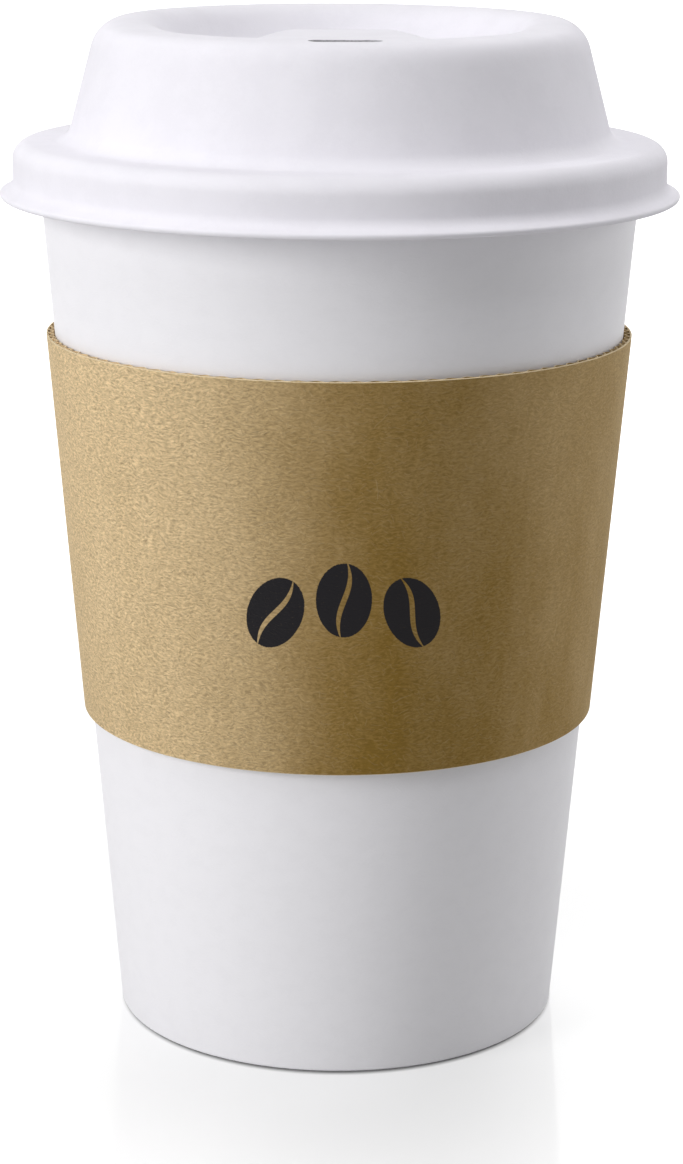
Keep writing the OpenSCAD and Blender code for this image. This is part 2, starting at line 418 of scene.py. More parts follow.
# The crease: its width, how far it sways, its waves along a bean, and how it thins to its ends
CREASE_MM, CREASE_SWAY_MM = 0.75, 0.75
CREASE_WAVES, CREASE_THINNING = 0.8, 0.012


def bean(tree, place, ragged, across, up, tilt):
    """Mask of one printed bean: an oval with a winding crease left bare."""
    offset = add(tree, "ShaderNodeVectorMath", {0: place, 1: (across, up, 0)},
                 operation="SUBTRACT").outputs[0]
    upright = add(tree, "ShaderNodeVectorRotate", {"Vector": offset, "Angle": math.radians(tilt)},
                  rotation_type="Z_AXIS").outputs[0]
    part = add(tree, "ShaderNodeSeparateXYZ", {0: upright})
    x, y = part.outputs[0], part.outputs[1]
    oval = add(tree, "ShaderNodeVectorMath", {0: upright, 1: (BEAN_W_MM / 2, BEAN_L_MM / 2, 1)},
               operation="DIVIDE").outputs[0]
    reach = add(tree, "ShaderNodeVectorMath", {0: oval}, operation="LENGTH").outputs["Value"]
    inside = step_between(tree, maths(tree, "ADD", reach, ragged), 1.012, 0.988)
    waves = 2 * math.pi / BEAN_L_MM * CREASE_WAVES
    sway = maths(tree, "SINE", maths(tree, "MULTIPLY", y, waves))
    from_crease = maths(tree, "ABSOLUTE", maths(tree, "MULTIPLY_ADD", sway, -CREASE_SWAY_MM, x))
    half_w = maths(tree, "MULTIPLY_ADD", maths(tree, "MULTIPLY", y, y), -CREASE_THINNING,
                   CREASE_MM / 2)
    bare = maths(tree, "SUBTRACT", maths(tree, "ADD", from_crease, ragged), half_w)
    return maths(tree, "MULTIPLY", inside, step_between(tree, bare, -0.04, 0.04))


def printed(tree, place):
    """Mask of the whole print, with edges that follow the paper's fibres a little."""
    ragged = maths(tree, "MULTIPLY_ADD", noise(tree, place, 4.5, 2.0), 0.04, -0.02)
    mask = 0.0
    for across, up, tilt in BEANS_MM:
        mask = maths(tree, "MAXIMUM", mask, bean(tree, place, ragged, across, up, tilt))
    return mask


# Kraft paper: its colours, and the ink's
KRAFT = (0.685, 0.518, 0.3)
KRAFT_DEEP = (0.22, 0.128, 0.019)
KRAFT_SPECK = (0.15, 0.09, 0.02)
KRAFT_PALE = (0.83, 0.69, 0.45)
INK = (0.009, 0.009, 0.013, 1)
# Azimuths from the front of the painted highlight, where it is palest, and of the painted light on the
# right, where it is a little paler
PAINTED_HIGHLIGHT_AZ, PAINTED_RIGHT_LIGHT_AZ = -62.0, 65.0
# How much its tone rises on the right as painted light, at the back and with each millimetre up
PAINTED_RIGHT_TONE, BACK_TONE, RISE_TONE = 0.14, 0.42, 0.003
# How much brighter painted light makes it on the right, and how strongly streaks, pale fibres and
# specks show
PAINTED_RIGHT_LIGHT = 0.18
STREAKS, PALE_FIBRES, SPECKS = 0.3, 0.2, 0.2
# How far its grain wanders, and its fibres: cell, length and half width in mm, spread, share
WANDER_MM = 1.8
FINE_FIBRES = (0.8, 0.95, 0.1, 32, 0.5)
TURNED_FIBRES = (1.3, 1.2, 0.1, 60, 0.4)
LONG_FIBRES = (10.0, 3.6, 0.1, 80, 0.25)
DARK_FIBRES = (2.9, 0.7, 0.14, 60, 0.4)


def kraft_pattern(tree, place):
    """Clouds, grain, fine grain, pale fibres and dark specks of unbleached kraft paper."""
    cloud = noise(tree, scaled(tree, place, 0.11, 0.05), 1.0, 4.0, 0.6)
    wander = add(tree, "ShaderNodeTexNoise", {"Vector": place, "Scale": 0.3, "Detail": 2.0})
    bent = add(tree, "ShaderNodeVectorMath",
               {0: wander.outputs["Color"], 1: (WANDER_MM, WANDER_MM, 0), 2: place},
               operation="MULTIPLY_ADD").outputs[0]
    grain = noise(tree, scaled(tree, bent, 1.2, 2.8, turn=6), 1.0, 2.0, 0.6, 0.35)
    fine = noise(tree, scaled(tree, bent, 2.1, 4.6, turn=-12), 1.0, 2.0, 0.6, 0.4)
    short = fibres(tree, bent, *FINE_FIBRES)
    across = fibres(tree, scaled(tree, bent, 1.0, 1.0, turn=24), *TURNED_FIBRES)
    long = fibres(tree, scaled(tree, bent, 1.0, 1.0, turn=-17), *LONG_FIBRES)
    dark = fibres(tree, scaled(tree, bent, 1.0, 1.0, turn=12), *DARK_FIBRES)
    light = maths(tree, "MAXIMUM", maths(tree, "MULTIPLY", short, 0.6),
                  maths(tree, "MULTIPLY", across, 0.6))
    light = maths(tree, "MAXIMUM", light, long)
    return cloud, grain, fine, light, dark


def toward(tree, place, azimuth):
    """Cosine of the turn round the sleeve between a place on it and an azimuth."""
    across = add(tree, "ShaderNodeSeparateXYZ", {0: place}).outputs[0]
    turn = maths(tree, "MULTIPLY_ADD", across, MM / SLEEVE_MID_R, -math.radians(azimuth))
    return maths(tree, "COSINE", turn)


def kraft_painted_highlight(tree, place):
    """Painted highlight: 1 where the paper is painted palest and roughest, on the left of the front,
    and 0 away from there.
    """
    return step_between(tree, toward(tree, place, PAINTED_HIGHLIGHT_AZ), 0.38, 1.0)


def kraft_painted_right_light(tree, place, most):
    """Painted light on the right: most where the paper is painted a little paler, on the right of the
    front, and 0 away from there.
    """
    return step_between(tree, toward(tree, place, PAINTED_RIGHT_LIGHT_AZ), 0.6, 1.0, 0.0, most)


def kraft_tone(tree, place, pattern, painted_highlight):
    """How pale the paper is from 0 to 1: cloudy, rising up the sleeve and at the back, with painted
    highlight on the left and painted light on the right.
    """
    cloud, grain, fine = pattern[:3]
    up = add(tree, "ShaderNodeSeparateXYZ", {0: place}).outputs[1]
    rise = maths(tree, "MULTIPLY_ADD", up, RISE_TONE, -RISE_TONE * SLEEVE_MID_MM)
    small = maths(tree, "MULTIPLY_ADD", fine, 0.15, maths(tree, "MULTIPLY", grain, 0.25))
    clouds = maths(tree, "MULTIPLY_ADD", cloud, 0.7, small)
    tone = maths(tree, "MULTIPLY_ADD", maths(tree, "ADD", clouds, -0.55), 0.75, rise)
    back = step_between(tree, toward(tree, place, 0.0), 0.1, -0.6, 0.0, BACK_TONE)
    tone = maths(tree, "ADD", tone, maths(tree, "ADD", kraft_painted_right_light(tree, place, PAINTED_RIGHT_TONE), back))
    return step_between(tree, maths(tree, "ADD", tone, painted_highlight), -0.1, 1.15, kind="LINEAR")


def kraft_colour(tree, place, pattern, shade=1.0):
    """Colour of kraft paper from its pattern, scaled by shade, with painted highlight and painted
    light on the right. Streaks show most in the painted highlight.
    """
    grain, fine, light, dark = pattern[1:]
    deep, base, specks, pale = (tuple(shade * c for c in colour) + (1,) for colour in
                                (KRAFT_DEEP, KRAFT, KRAFT_SPECK, KRAFT_PALE))
    painted_highlight = kraft_painted_highlight(tree, place)
    body = mixed(tree, kraft_tone(tree, place, pattern, painted_highlight), deep, base)
    # Streaks and pale fibres show most in the painted highlight
    shown = maths(tree, "MULTIPLY_ADD", painted_highlight, 0.5, 0.5)
    streaks = maths(tree, "MULTIPLY_ADD", fine, 0.5, maths(tree, "MULTIPLY", grain, 0.5))
    streaks = step_between(tree, streaks, 0.38, 0.62, -STREAKS, STREAKS, kind="LINEAR")
    # Painted light on the right makes the paper brighter there
    lit = maths(tree, "MULTIPLY_ADD", streaks, shown, kraft_painted_right_light(tree, place, PAINTED_RIGHT_LIGHT))
    lit = maths(tree, "ADD", lit, 1.0)
    body = add(tree, "ShaderNodeVectorMath", {0: body, "Scale": lit}, operation="SCALE").outputs[0]
    strands = maths(tree, "MULTIPLY", maths(tree, "MULTIPLY", light, shown), PALE_FIBRES)
    body = mixed(tree, strands, body, pale)
    return mixed(tree, maths(tree, "MULTIPLY", dark, SPECKS), body, specks)


def paper_height(tree, pattern):
    """Relief of kraft paper, from 0 to about 1."""
    grain, fine, light, dark = pattern[1:]
    body = maths(tree, "MULTIPLY_ADD", fine, 0.45, maths(tree, "MULTIPLY", grain, 0.55))
    raised = maths(tree, "MULTIPLY_ADD", light, 0.3, body)
    return maths(tree, "MULTIPLY_ADD", dark, -0.2, raised)


# Depths of the liner's faint ribs and of its grain
RIB_DEPTH = 0.004 * MM
LINER_RELIEF = 0.24 * MM


def liner_material():
    """Smooth kraft liner with the print and a faint washboard from the flutes behind it."""
    made, tree, shader = new_material("kraft_liner")
    place = wrap_coordinates(tree)
    pattern = kraft_pattern(tree, place)
    colour = kraft_colour(tree, place, pattern)
    across = add(tree, "ShaderNodeSeparateXYZ", {0: place}).outputs[0]
    wave = maths(tree, "COSINE", maths(tree, "MULTIPLY", across, 2 * math.pi * MM / FLUTE_PITCH))
    ink = printed(tree, place)
    # The ink is a little thinner where the fine grain dips
    cover = maths(tree, "MULTIPLY", ink, step_between(tree, pattern[2], 0.2, 0.36, 0.86, 1.0))
    tree.links.new(mixed(tree, cover, colour, INK), shader.inputs["Base Color"])
    ribs = bump(tree, wave, RIB_DEPTH)
    # The grain stands out most in the painted highlight
    shown = maths(tree, "MULTIPLY_ADD", kraft_painted_highlight(tree, place), 0.7, 0.3)
    height = maths(tree, "MULTIPLY", paper_height(tree, pattern), shown)
    tree.links.new(bump(tree, height, LINER_RELIEF, ribs), shader.inputs["Normal"])
    tree.links.new(step_between(tree, ink, 0, 1, 0.7, 0.85), shader.inputs["Roughness"])
    shader.inputs["Sheen Weight"].default_value = 0.15
    shader.inputs["Sheen Roughness"].default_value = 0.55
    shader.inputs["Sheen Tint"].default_value = (1.0, 0.85, 0.6, 1)
    shader.inputs["Specular IOR Level"].default_value = 0.12
    return made


def kraft_edge_material():
    """Cut edge of the kraft paper: paler, with torn fibre ends."""
    made, tree, shader = new_material("kraft_edge")
    place = body_coordinates(tree)
    tone = noise(tree, place, 2.6, 4.0, 0.7)
    colour = mixed(tree, step_between(tree, tone, 0.3, 0.55), (*KRAFT, 1), (*KRAFT_PALE, 1))
    tree.links.new(colour, shader.inputs["Base Color"])
    tree.links.new(bump(tree, tone, 0.06 * MM), shader.inputs["Normal"])
    shader.inputs["Roughness"].default_value = 0.92
    shader.inputs["Specular IOR Level"].default_value = 0.2
    return made


# How much paler the fluted paper is than the liner
FLUTE_SHADE = 1.35


def flute_material():
    """Rougher and slightly paler kraft of the fluted paper."""
    made, tree, shader = new_material("kraft_flute")
    place = wrap_coordinates(tree)
    pattern = kraft_pattern(tree, place)
    colour = kraft_colour(tree, place, pattern, FLUTE_SHADE)
    tree.links.new(colour, shader.inputs["Base Color"])
    tree.links.new(bump(tree, paper_height(tree, pattern), 0.05 * MM), shader.inputs["Normal"])
    shader.inputs["Roughness"].default_value = 0.9
    shader.inputs["Specular IOR Level"].default_value = 0.25
    return made


# White cup board outside, inside where it is coated, and its strands as for the kraft paper
BOARD = (0.868, 0.858, 0.888, 1)
BOARD_SHADE = (0.854, 0.844, 0.874, 1)
COATED = (0.866, 0.86, 0.866, 1)
COATED_SHADE = (0.852, 0.846, 0.852, 1)
STRANDS = (1.4, 1.5, 0.14, 60, 0.6)


def board_material(name, roughness, depth, coat=0.0):
    """White cup board: faint formation clouds and a fine fibrous surface, coated or bare."""
    made, tree, shader = new_material(name)
    place = wrap_coordinates(tree)
    cloud = noise(tree, scaled(tree, place, 0.3, 0.42), 1.0, 3.0, 0.6)
    grain = noise(tree, scaled(tree, place, 2.2, 4.4), 1.0, 4.0, 0.6, 0.3)
    strands = fibres(tree, place, *STRANDS)
    tone = maths(tree, "MULTIPLY_ADD", grain, 0.4, maths(tree, "MULTIPLY", cloud, 0.6))
    shades = (COATED_SHADE, COATED) if coat else (BOARD_SHADE, BOARD)
    colour = mixed(tree, step_between(tree, tone, 0.38, 0.56), *shades)
    tree.links.new(colour, shader.inputs["Base Color"])
    relief = maths(tree, "MULTIPLY_ADD", strands, 0.25, maths(tree, "MULTIPLY", grain, 0.6))
    tree.links.new(bump(tree, relief, depth), shader.inputs["Normal"])
    tree.links.new(step_between(tree, grain, 0.3, 0.7, roughness - 0.05, roughness + 0.05),
                   shader.inputs["Roughness"])
    shader.inputs["Specular IOR Level"].default_value = 0.25
    shader.inputs["Coat Weight"].default_value = coat
    shader.inputs["Coat Roughness"].default_value = 0.3
    return made


# Moulded fibre, its punched edges, darkened mostly as painted shade, and the pitch of the screen's
# imprint inside
LID_WHITE = (0.836, 0.82, 0.872, 1)
LID_SHADE = (0.816, 0.8, 0.852, 1)
CUT_PAINTED_SHADE = (0.62, 0.61, 0.64, 1)
CUT_PAINTED_SHADE_DEEP = (0.42, 0.41, 0.44, 1)
SCREEN_PITCH_MM = 0.9


def lid_material(name, screen):
    """Moulded fibre: soft clouds, a fine pulp grain, and inside the imprint of the mould's screen."""
    made, tree, shader = new_material(name)
    place = body_coordinates(tree)
    cloud = noise(tree, place, 0.16, 3.0, 0.6)
    grain = noise(tree, place, 2.4, 5.0, 0.66)
    pits = noise(tree, place, 5.5, 3.0, 0.6)
    tone = maths(tree, "MULTIPLY_ADD", grain, 0.3, maths(tree, "MULTIPLY", cloud, 0.7))
    colour = mixed(tree, step_between(tree, tone, 0.38, 0.58), LID_SHADE, LID_WHITE)
    tree.links.new(colour, shader.inputs["Base Color"])
    relief = maths(tree, "MULTIPLY_ADD", pits, 0.35, maths(tree, "MULTIPLY", grain, 0.65))
    if screen:
        part = add(tree, "ShaderNodeSeparateXYZ", {0: wrap_coordinates(tree)})
        threads = 2 * math.pi / SCREEN_PITCH_MM
        weft = maths(tree, "SINE", maths(tree, "MULTIPLY", part.outputs[0], threads))
        warp = maths(tree, "SINE", maths(tree, "MULTIPLY", part.outputs[1], threads))
        relief = maths(tree, "MULTIPLY_ADD", maths(tree, "MULTIPLY", weft, warp), 0.5, relief)
    swell = bump(tree, noise(tree, place, 0.35, 2.0), 0.05 * MM)
    tree.links.new(bump(tree, relief, 0.035 * MM, swell), shader.inputs["Normal"])
    shader.inputs["Roughness"].default_value = 0.8
    shader.inputs["Specular IOR Level"].default_value = 0.12
    shader.inputs["Subsurface Weight"].default_value = 0.12
    shader.inputs["Subsurface Radius"].default_value = (1.0, 0.95, 0.95)
    shader.inputs["Subsurface Scale"].default_value = 0.8 * MM
    return made


def lid_cut_shade_material():
    """Punched edge of the moulded fibre: coarse fibre ends, a little darker, and painted darker still
    as the shade inside the slot and vent.
    """
    made, tree, shader = new_material("lid_cut")
    ends = noise(tree, body_coordinates(tree), 4.0, 3.0, 0.7)
    colour = mixed(tree, step_between(tree, ends, 0.35, 0.65), CUT_PAINTED_SHADE_DEEP, CUT_PAINTED_SHADE)
    tree.links.new(colour, shader.inputs["Base Color"])
    tree.links.new(bump(tree, ends, 0.08 * MM), shader.inputs["Normal"])
    shader.inputs["Roughness"].default_value = 0.95
    shader.inputs["Specular IOR Level"].default_value = 0.1
    return made


# Pieces


def cup_wall():
    """The wall's one strip of board: hem, fold at the foot, cone, rolled bead and side seam."""
    hem_l = (HEM_H - FOLD_Z - FOLD_R * cos(WALL_A)) / sin(WALL_A)
    legs = [(hem_l, 0, 0), (FOLD_R, 180 - WALL_A, 0), (FOOT_FLAT, 0, 0), (FOLD_R, WALL_A, 0),
            (WALL_L, 0, 8), (BEAD_MID, -BEAD_TURN, 0)]
    way = path((cone_r(HEM_H, HEM_OFF), HEM_H, WALL_A + 180), legs)
    outer = beside(way, -BOARD_T / 2)
    inner = beside(way, BOARD_T / 2)[::-1]
    # The lap lifts the wall, and dies out on the fold and on the bead
    on_wall = (np.abs(way[:, 2] - 360 - WALL_A) < 0.01) & (way[:, 1] > 2 * FOLD_Z)
    lifted = np.concatenate([on_wall, np.zeros(len(way), bool)]) * 1.0
    section = np.concatenate([outer, inner, outer[:1]])
    lifted = np.concatenate([lifted, lifted[:1]])
    mid_r = cone_r(CUP_H / 2, 0)
    azimuths = columns(288, lap_edges(SEAM_W, mid_r, SEAM_BLEND))
    lift = lap(azimuths, SEAM_W, mid_r, SEAM_BLEND)[:, None] * lifted * BOARD_T
    points = turned(section[:, 0] + lift, section[:, 1], azimuths)
    places = wrap_map(azimuths, run_length(section), mid_r)
    # The strips of the inside are coated
    rows = np.zeros(len(section) - 1)
    rows[len(way) : -1] = 1
    materials = [board_material("cup_board", 0.55, 0.022 * MM),
                 board_material("cup_board_inside", 0.42, 0.012 * MM, 0.25)]
    made = grid_object("wall_board", points, places, materials, rows)
    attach(made, "cup")
    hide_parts("cup_wall")


def cup_base():
    """The base disc, with its edge bent down into a skirt between the wall and the hem."""
    bend_mid = DISC_BEND - DISC_T / 2
    bend_z = DISC_Z - DISC_BEND
    bend_x = cone_r(bend_z, HEM_OFF / 2 - bend_mid)
    skirt_top = bend_z - bend_mid * cos(WALL_A)
    skirt_l = (skirt_top - BOARD_T - SKIRT_GAP) / sin(WALL_A)
    way = path((0.0, DISC_Z - DISC_T / 2, 0.0),
               [(bend_x, 0, 4), (bend_mid, WALL_A - 180, 0), (skirt_l, 0, 0)])
    section = np.concatenate([beside(way, -DISC_T / 2), beside(way, DISC_T / 2)[::-1]])
    azimuths = columns(192)
    points = turned(section[:, 0], section[:, 1], azimuths)
    # The disc is mapped flat, so that its grain doesn't run together at the centre
    places = points[..., :2] / MM
    made = grid_object("base_board", points, places, [board_material("base_board", 0.5, 0.015 * MM)])
    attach(made, "cup")
    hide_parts("cup_base")


# The lid's outer face at the ring, dome, crest and bowl, and where the slot and the dip are
RING_R = RIM_R + LID_GAP + LID_T
RING_Z = CUP_H + LID_GAP + LID_T
RING_ROUND = BEAD_D / 2 + LID_GAP + LID_T
DOME_SIDE = (CREST_Z - RING_Z - (DOME_ROOT + SHOULDER_R) * (1 - sin(DOME_LEAN))) / cos(DOME_LEAN)
DOME_RUN = (DOME_ROOT + SHOULDER_R) * cos(DOME_LEAN) + DOME_SIDE * sin(DOME_LEAN)
CREST_R = RING_R - RING_ROUND - LEDGE_W - DOME_RUN
BOWL_R = CREST_R - LAND_W
SLOT_Y = BOWL_R + LAND_W / 2
DIP_Z = CREST_Z - DIP_D
DIP_ROUND = (DIP_RUN**2 + DIP_D**2) / (2 * DIP_D)


def lid_way():
    """Section of the lid's outer face, from the lip over the ring and dome to the bowl's centre."""
    lip_run = (LIP_FLARE - LIP_HOLLOW * (1 - sin(LIP_SLOPE))) / cos(LIP_SLOPE)
    lip_z = RING_Z - SKIRT_H + LID_T * cos(LIP_SLOPE)
    ring_wall = (RING_Z - RING_ROUND - lip_z - lip_run * sin(LIP_SLOPE)
                 - LIP_HOLLOW * cos(LIP_SLOPE))
    bowl_side = (BOWL_H - (BOWL_EDGE + BOWL_ROOT) * (1 - cos(BOWL_SLOPE))) / sin(BOWL_SLOPE)
    bowl_foot = BOWL_R - (BOWL_EDGE + BOWL_ROOT) * sin(BOWL_SLOPE) - bowl_side * cos(BOWL_SLOPE)
    start = (RING_R + LIP_FLARE - LIP_ROUND * cos(LIP_SLOPE),
             lip_z + LIP_ROUND * sin(LIP_SLOPE), 180 - LIP_SLOPE)
    return path(start, [
        (lip_run - LIP_ROUND, 0, 0.4), (LIP_HOLLOW, LIP_SLOPE - 90, 0), (ring_wall, 0, 0.7),
        (RING_ROUND, 90, 0), (LEDGE_W, 0, 0.8), (DOME_ROOT, DOME_LEAN - 90, 0),
        (DOME_SIDE, 0, 0.9), (SHOULDER_R, 90 - DOME_LEAN, 0), (LAND_W, 0, 0.4),
        (BOWL_EDGE, BOWL_SLOPE, 0), (bowl_side, 0, 0.6), (BOWL_ROOT, -BOWL_SLOPE, 0),
        (bowl_foot, 0, 0.9)])


def smooth_max(a, b, reach):
    """The greater of a and b, blended where they are within reach of each other."""
    share = np.clip(0.5 + 0.5 * (a - b) / reach, 0, 1)
    return b + (a - b) * share + reach * share * (1 - share)


def smooth_min(a, b, reach):
    """The smaller of a and b, blended where they are within reach of each other."""
    return -smooth_max(-a, -b, reach)


def tongue_top(x, y):
    """Height of the tongue: a nearly level top that rounds over into two sides and an end."""
    narrowing = math.degrees(math.atan((TONGUE_W - TONGUE_END_W) / 2 / (SLOT_Y + TONGUE_Y)))
    beyond = (np.abs(x) - TONGUE_END_W / 2) * cos(narrowing) + (y - TONGUE_Y) * sin(narrowing)
    level = DIP_Z - (y + SLOT_Y) * tan(TONGUE_FALL)
    side = DIP_Z - beyond * tan(TONGUE_SIDE)
    end = DIP_Z - (y - TONGUE_Y) * tan(TONGUE_END)
    return smooth_min(smooth_min(level, side, TONGUE_BLEND), end, TONGUE_BLEND)


def dip_top(y):
    """Height that the crest is brought down to in front, rising on a round to the full height."""
    run = np.clip(y + DIP_Y, 0, 2 * DIP_RUN)
    return DIP_Z + DIP_ROUND - np.sqrt(DIP_ROUND**2 - run**2)


def lid_top(x, y, z):
    """Height of the lid's outer face, where z is that of its turned form: adds tongue and dip."""
    r = np.hypot(x, y)
    # The tongue's blend with the bowl fades out towards the land
    reach = FILL_BLEND * np.clip((BOWL_R - r) / FILL_FADE, 0.02, 1)
    filled = smooth_max(z, tongue_top(x, y), reach)
    inside = (r < BOWL_R) & (z > CREST_Z - 2 * BOWL_H)
    return smooth_min(np.where(inside, filled, z), dip_top(y), DIP_BLEND)


def lid_grid():
    """Points of the lid's closed skin: inside from the centre to the lip, then outside back up."""
    way = lid_way()
    azimuths = columns(288)
    outer = turned(way[:, 0], way[:, 1], azimuths)
    outer[..., 2] = lid_top(outer[..., 0], outer[..., 1], outer[..., 2])
    along = np.gradient(outer, axis=1)
    radial = np.stack([np.cos(np.radians(azimuths)), np.sin(np.radians(azimuths))], -1)
    around = np.gradient(outer, axis=0)
    # The first and last columns meet, and take their direction across the join
    around[0] = around[-1] = outer[1] - outer[-2]
    around[:, -1] = np.stack([-radial[:, 1], radial[:, 0], 0 * radial[:, 0]], -1)
    normal = np.cross(around, along)
    normal /= np.linalg.norm(normal, axis=-1, keepdims=True)
    normal[:, -1] = (0, 0, 1)
    inner = outer - LID_T * normal
    middle = (outer[:, 0] + inner[:, 0]) / 2
    out = -along[:, 0] / np.linalg.norm(along[:, 0], axis=-1, keepdims=True)
    half = (outer[:, 0] - inner[:, 0]) / 2
    edge = [middle - half * cos(a) + out * LIP_ROUND * sin(a) for a in (30, 60, 90, 120, 150)]
    points = np.concatenate([inner[:, ::-1], np.stack(edge, 1), outer], 1)
    length = run_length(way[:, :2])
    length = np.concatenate([length[::-1], np.zeros(len(edge)), length])
    # The strips of the inside carry the screen's imprint
    rows = np.zeros(points.shape[1] - 1)
    rows[: len(way) - 1] = 1
    return points, wrap_map(azimuths, length, RING_R), rows


def outline(width, length, grow):
    """Points of a slot with round ends, or of a circle where its length is its width."""
    radius = width / 2 + grow
    corners = 64
    found = []
    for k in range(corners):
        angle = math.radians(k * 360 / corners)
        side = math.copysign((length - width) / 2, math.cos(angle))
        found.append((side + radius * math.cos(angle), radius * math.sin(angle)))
    return found


# A hole's side from below the lid to above it: (outwards, up from the surface) in millimetres
PUNCH_MM = ((0.0, -3.0), (0.0, -0.12), (0.015, -0.06), (0.05, -0.015), (0.1, 0.0), (1.0, 0.6))


def punch(width, length, y, surface, material):
    """A cutter for a hole whose upper edge is slightly rounded where it meets the surface."""
    rings = []
    for grow, up in PUNCH_MM:
        ring = outline(width, length, grow * MM)
        rings.append([(px, py + y, surface(px, py + y) + up * MM) for px, py in ring])
    work = bmesh.new()
    made = [[work.verts.new(p) for p in ring] for ring in rings]
    count = len(made[0])
    for low, high in zip(made, made[1:]):
        for k in range(count):
            work.faces.new((low[k], low[(k + 1) % count], high[(k + 1) % count], high[k]))
    work.faces.new(made[0][::-1])
    work.faces.new(made[-1])
    mesh = bpy.data.meshes.new("punch")
    work.to_mesh(mesh)
    work.free()
    mesh.materials.append(material)
    cutter = bpy.data.objects.new("punch", mesh)
    bpy.context.scene.collection.objects.link(cutter)
    return cutter


def cut_out(piece, cutter):
    """Cuts the cutter's shape out of the piece and removes the cutter."""
    step = piece.modifiers.new("cut", "BOOLEAN")
    step.operation = "DIFFERENCE"
    step.solver = "EXACT"
    step.material_mode = "TRANSFER"
    step.object = cutter
    graph = bpy.context.evaluated_depsgraph_get()
    cut = bpy.data.meshes.new_from_object(piece.evaluated_get(graph))
    piece.modifiers.clear()
    piece.data = cut
    bpy.data.objects.remove(cutter)


def lid():
    """The lid: one moulding of even thickness with a sip slot and a vent."""
    points, places, rows = lid_grid()
    materials = [lid_material("lid_fibre", False), lid_material("lid_fibre_inside", True)]
    made = grid_object("lid_moulding", points, places, materials, rows)
    top = lid_way()[::-1]
    top = top[top[:, 0] < CREST_R + SHOULDER_R / 2]

    def surface(x, y):
        turned_z = np.interp(math.hypot(x, y), top[:, 0], top[:, 1])
        return float(lid_top(np.array(x), np.array(y), turned_z))

    # The slot's and vent's edges are painted dark as shade
    cut = lid_cut_shade_material()
    cut_out(made, punch(SLOT_W, SLOT_L, -SLOT_Y, surface, cut))
    cut_out(made, punch(VENT_D, VENT_D, VENT_Y, surface, cut))
    tidy(made.data)
    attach(made, "lid")
    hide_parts("lid")


def sleeve_liner():
    """The sleeve's smooth outer paper, closed at the back by a glued lap."""
    steps = 24
    rise = np.linspace(SLEEVE_LOW + LINER_ROUND, SLEEVE_TOP - LINER_ROUND, steps)
    # Stations: radius, height, and how far the lap lifts the layer there
    outer = [(cone_r(z, LINER_OUT), z, 1.0) for z in rise]
    top = [(cone_r(SLEEVE_TOP, LINER_OUT - LINER_ROUND), SLEEVE_TOP, 1.0),
           (cone_r(SLEEVE_TOP, LINER_IN), SLEEVE_TOP, 0.5)]
    inner = [(cone_r(z, LINER_IN), z, 0.5) for z in rise[::-1]]
    low = [(cone_r(SLEEVE_LOW, LINER_IN), SLEEVE_LOW, 0.5),
           (cone_r(SLEEVE_LOW, LINER_OUT - LINER_ROUND), SLEEVE_LOW, 1.0)]
    section = np.array(outer + top + inner + low + outer[:1])
    azimuths = columns(360, lap_edges(SLEEVE_LAP, SLEEVE_MID_R, LAP_BLEND))
    lift = lap(azimuths, SLEEVE_LAP, SLEEVE_MID_R, LAP_BLEND)[:, None] * section[:, 2]
    points = turned(section[:, 0] + lift * LINER_T, section[:, 1], azimuths)
    places = wrap_map(azimuths, section[:, 1], SLEEVE_MID_R)
    # The strips at the top and at the bottom are cut edges
    rows = np.zeros(len(section) - 1)
    rows[steps - 1 : steps + 2] = 1
    rows[-3:] = 1
    made = grid_object("sleeve_paper", points, places, [liner_material(), kraft_edge_material()], rows)
    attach(made, "sleeve")
    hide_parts("sleeve_liner")


def sleeve_flutes():
    """The fluted paper: waves all round, pressed flat against the liner under the lap."""
    flat_turn = math.degrees(SLEEVE_LAP / SLEEVE_MID_R)
    pitch_turn = math.degrees(FLUTE_PITCH / SLEEVE_MID_R)
    flutes = round((360 - flat_turn) / pitch_turn)
    wave_turn = (360 - flat_turn) / flutes
    swing = (FLUTE_H - FLUTE_T) / 2
    steps, flat_steps = 16, 12
    waved = np.arange(flutes * steps + 1) / steps
    flat = np.linspace(BACK - flat_turn / 2, BACK + flat_turn / 2, flat_steps + 1)[1:]
    azimuths = np.concatenate([BACK + flat_turn / 2 + waved * wave_turn, flat + 360])
    phase = np.concatenate([waved * 360, 0 * flat])
    tilt = np.arctan(-swing * np.sin(np.radians(phase)) * 360 / wave_turn / SLEEVE_MID_R)
    sides = [(SLEEVE_LOW, 0.5), (SLEEVE_TOP, 0.5), (SLEEVE_TOP, -0.5), (SLEEVE_LOW, -0.5),
             (SLEEVE_LOW, 0.5)]
    points = []
    for z, side in sides:
        middle = cone_r(z, FLUTE_OUT - FLUTE_T / 2 - swing * (1 - np.cos(np.radians(phase))))
        r = middle + side * FLUTE_T * np.cos(tilt)
        angle = np.radians(azimuths) - side * FLUTE_T * np.sin(tilt) / middle
        points.append(np.stack([r * np.cos(angle), r * np.sin(angle), z + 0 * r], -1))
    points = np.stack(points, 1)
    along = np.array([z for z, side in sides])
    places = wrap_map(azimuths, along, SLEEVE_MID_R)
    made = grid_object("flute_paper", points, places, [flute_material(), kraft_edge_material()],
                       np.array([0, 1, 0, 1]))
    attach(made, "sleeve")
    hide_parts("sleeve_flutes")


# Stage, lights and camera


def direct_ray(tree):
    """1 for a ray from the camera, a mirror or a clear body, and 0 for light that falls diffusely."""
    ray = add(tree, "ShaderNodeLightPath").outputs
    direct = maths(tree, "ADD", ray["Is Camera Ray"], ray["Is Glossy Ray"])
    return maths(tree, "ADD", direct, ray["Is Transmission Ray"], clamp=True)


